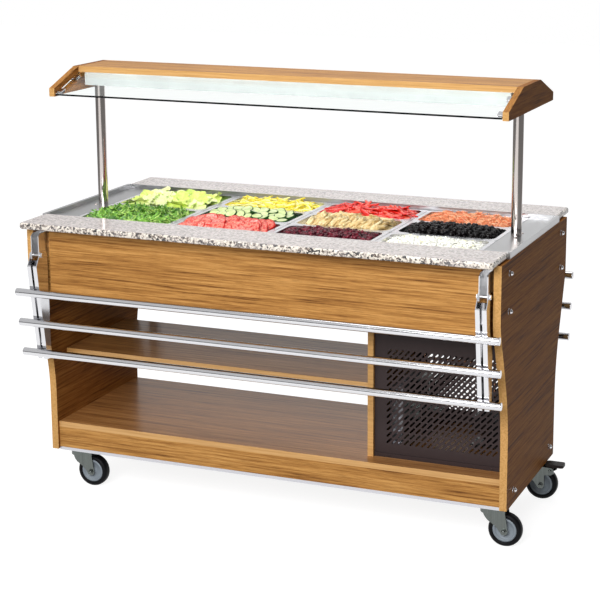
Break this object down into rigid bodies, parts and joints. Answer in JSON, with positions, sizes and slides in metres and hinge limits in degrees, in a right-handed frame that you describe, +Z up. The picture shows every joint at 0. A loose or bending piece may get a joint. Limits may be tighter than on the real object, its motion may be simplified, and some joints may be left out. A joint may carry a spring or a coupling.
{
  "type": "mobile refrigerated salad bar",
  "caption": "Wheeled salad bar with sunken pans, stone worktop rims, glass sneeze guard, folding tray slides, shelves and a grilled machine compartment.",
  "frame": {"origin": "on the floor under the middle of the overall footprint", "axes": "+X along the length, +Y towards the rear side, +Z up from the floor; the front tray slide faces -Y"},
  "size_m": [1.565, 0.8444, 1.331],
  "materials": {
    "wood_laminate": "satin horizontal grain",
    "granite": "polished speckled",
    "stainless": "satin",
    "polished_steel": "bright polished",
    "pan_steel": "satin",
    "galvanised": "zinc plated",
    "painted_frame": "black powder coat",
    "grille_paint": "dark brown powder coat",
    "white_paint": "white gloss",
    "compressor_paint": "black gloss",
    "aluminium_trim": "satin",
    "fin_aluminium": "matt",
    "copper_pipe": "drawn copper",
    "brass_valve": "cast",
    "foam": "rigid foam",
    "clear_glass": "polished",
    "lamp_glass": "opal",
    "black_plastic": "gloss",
    "grey_plastic": "matt",
    "wheel_rubber": "matt rubber on grey hub"
  },
  "bodies": {
    "cabinet": {"side_panel_left": "wood_laminate", "side_panel_right": "wood_laminate", "aprons": "wood_laminate", "bottom_shelf": "wood_laminate", "middle_shelf": "wood_laminate", "partition": "wood_laminate", "plinth_boards": "wood_laminate", "plinth_trims": "aluminium_trim", "base_frame": "painted_frame", "top_rails": "galvanised", "cap_nuts": "polished_steel", "worktop_slabs": "granite", "deck_tub": "stainless", "insulation": "foam", "tub_casing": "galvanised", "divider_bars": "stainless", "drain_valve": "brass_valve", "guard_posts": "polished_steel", "guard_gables": "wood_laminate", "guard_top_board": "wood_laminate", "lamp_housing": "white_paint", "lamp_tube": "lamp_glass", "front_glass": "clear_glass", "rear_glass": "clear_glass", "glass_clips": "polished_steel", "tray_brackets": "stainless", "front_grille": "grille_paint", "rear_grille": "grille_paint", "compressor": "compressor_paint", "condenser": "fin_aluminium", "fan_shroud": "galvanised", "refrigerant_pipes": "copper_pipe", "caster_plates": "galvanised"},
    "front_slide_body": {"front_tray_slide": "polished_steel"},
    "rear_slide_body": {"rear_tray_slide": "polished_steel"},
    "swivel_front_left": {"caster_fork_front_left": "galvanised"},
    "wheel_front_left": {"caster_wheel_front_left": "wheel_rubber"},
    "swivel_rear_left": {"caster_fork_rear_left": "galvanised"},
    "wheel_rear_left": {"caster_wheel_rear_left": "wheel_rubber"},
    "swivel_front_right": {"caster_fork_front_right": "galvanised"},
    "wheel_front_right": {"caster_wheel_front_right": "wheel_rubber"},
    "swivel_rear_right": {"caster_fork_rear_right": "galvanised"},
    "wheel_rear_right": {"caster_wheel_rear_right": "wheel_rubber"},
    "pedal_left": {"brake_pedal_left": "grey_plastic"},
    "pedal_right": {"brake_pedal_right": "grey_plastic"},
    "body_pan_1_front": {"pan_1_front": "pan_steel"},
    "body_pan_1_rear": {"pan_1_rear": "pan_steel"},
    "body_pan_2_front": {"pan_2_front": "pan_steel"},
    "body_pan_2_middle": {"pan_2_middle": "pan_steel"},
    "body_pan_2_rear": {"pan_2_rear": "pan_steel"},
    "body_pan_3_front": {"pan_3_front": "pan_steel"},
    "body_pan_3_middle": {"pan_3_middle": "pan_steel"},
    "body_pan_3_rear": {"pan_3_rear": "pan_steel"},
    "body_pan_4_front": {"pan_4_front": "pan_steel"},
    "body_pan_4_middle": {"pan_4_middle": "pan_steel"},
    "body_pan_4_rear": {"pan_4_rear": "pan_steel"},
    "fan": {"fan_blades": "grey_plastic"},
    "switch_rocker": {"power_switch": "black_plastic"},
    "thermostat_dial": {"thermostat_knob": "black_plastic"}
  },
  "joints": [
    {"name": "front_tray_slide_fold", "type": "hinge", "parent": "cabinet", "child": "front_slide_body", "pos_m": [-0.0195, -0.38, 0.788], "axis": [-1, 0, 0], "range_deg": [0, 98]},
    {"name": "rear_tray_slide_fold", "type": "hinge", "parent": "cabinet", "child": "rear_slide_body", "pos_m": [-0.0195, 0.38, 0.788], "axis": [1, 0, 0], "range_deg": [0, 98]},
    {"name": "caster_swivel_front_left", "type": "hinge", "parent": "cabinet", "child": "swivel_front_left", "pos_m": [-0.7035, -0.204, 0.11], "axis": [0, 0, 1], "continuous": true},
    {"name": "wheel_spin_front_left", "type": "hinge", "parent": "swivel_front_left", "child": "wheel_front_left", "pos_m": [-0.6555, -0.204, 0.051], "axis": [0, 1, 0], "continuous": true},
    {"name": "caster_swivel_rear_left", "type": "hinge", "parent": "cabinet", "child": "swivel_rear_left", "pos_m": [-0.7035, 0.204, 0.11], "axis": [0, 0, 1], "continuous": true},
    {"name": "wheel_spin_rear_left", "type": "hinge", "parent": "swivel_rear_left", "child": "wheel_rear_left", "pos_m": [-0.6555, 0.204, 0.051], "axis": [0, 1, 0], "continuous": true},
    {"name": "caster_swivel_front_right", "type": "hinge", "parent": "cabinet", "child": "swivel_front_right", "pos_m": [0.6645, -0.204, 0.11], "axis": [0, 0, 1], "continuous": true},
    {"name": "wheel_spin_front_right", "type": "hinge", "parent": "swivel_front_right", "child": "wheel_front_right", "pos_m": [0.7125, -0.204, 0.051], "axis": [0, 1, 0], "continuous": true},
    {"name": "caster_swivel_rear_right", "type": "hinge", "parent": "cabinet", "child": "swivel_rear_right", "pos_m": [0.6645, 0.204, 0.11], "axis": [0, 0, 1], "continuous": true},
    {"name": "wheel_spin_rear_right", "type": "hinge", "parent": "swivel_rear_right", "child": "wheel_rear_right", "pos_m": [0.7125, 0.204, 0.051], "axis": [0, 1, 0], "continuous": true},
    {"name": "brake_pedal_left", "type": "hinge", "parent": "swivel_rear_left", "child": "pedal_left", "pos_m": [-0.6255, 0.204, 0.1], "axis": [0, 1, 0], "range_deg": [0, 8]},
    {"name": "brake_pedal_right", "type": "hinge", "parent": "swivel_rear_right", "child": "pedal_right", "pos_m": [0.7425, 0.204, 0.1], "axis": [0, 1, 0], "range_deg": [0, 8]},
    {"name": "lift_pan_1_front", "type": "slide", "parent": "cabinet", "child": "body_pan_1_front", "axis": [0, 0, 1], "range_m": [0, 0.16]},
    {"name": "lift_pan_1_rear", "type": "slide", "parent": "cabinet", "child": "body_pan_1_rear", "axis": [0, 0, 1], "range_m": [0, 0.16]},
    {"name": "lift_pan_2_front", "type": "slide", "parent": "cabinet", "child": "body_pan_2_front", "axis": [0, 0, 1], "range_m": [0, 0.16]},
    {"name": "lift_pan_2_middle", "type": "slide", "parent": "cabinet", "child": "body_pan_2_middle", "axis": [0, 0, 1], "range_m": [0, 0.16]},
    {"name": "lift_pan_2_rear", "type": "slide", "parent": "cabinet", "child": "body_pan_2_rear", "axis": [0, 0, 1], "range_m": [0, 0.16]},
    {"name": "lift_pan_3_front", "type": "slide", "parent": "cabinet", "child": "body_pan_3_front", "axis": [0, 0, 1], "range_m": [0, 0.16]},
    {"name": "lift_pan_3_middle", "type": "slide", "parent": "cabinet", "child": "body_pan_3_middle", "axis": [0, 0, 1], "range_m": [0, 0.16]},
    {"name": "lift_pan_3_rear", "type": "slide", "parent": "cabinet", "child": "body_pan_3_rear", "axis": [0, 0, 1], "range_m": [0, 0.16]},
    {"name": "lift_pan_4_front", "type": "slide", "parent": "cabinet", "child": "body_pan_4_front", "axis": [0, 0, 1], "range_m": [0, 0.16]},
    {"name": "lift_pan_4_middle", "type": "slide", "parent": "cabinet", "child": "body_pan_4_middle", "axis": [0, 0, 1], "range_m": [0, 0.16]},
    {"name": "lift_pan_4_rear", "type": "slide", "parent": "cabinet", "child": "body_pan_4_rear", "axis": [0, 0, 1], "range_m": [0, 0.16]},
    {"name": "fan_spin", "type": "hinge", "parent": "cabinet", "child": "fan", "pos_m": [0.3885, 0, 0.321], "axis": [1, 0, 0], "continuous": true},
    {"name": "power_switch_rock", "type": "hinge", "parent": "cabinet", "child": "switch_rocker", "pos_m": [0.4305, 0.192, 0.614], "axis": [-1, 0, 0], "range_deg": [0, 16]},
    {"name": "thermostat_turn", "type": "hinge", "parent": "cabinet", "child": "thermostat_dial", "pos_m": [0.3605, 0.193, 0.614], "axis": [0, 1, 0], "range_deg": [0, 270]}
  ]
}
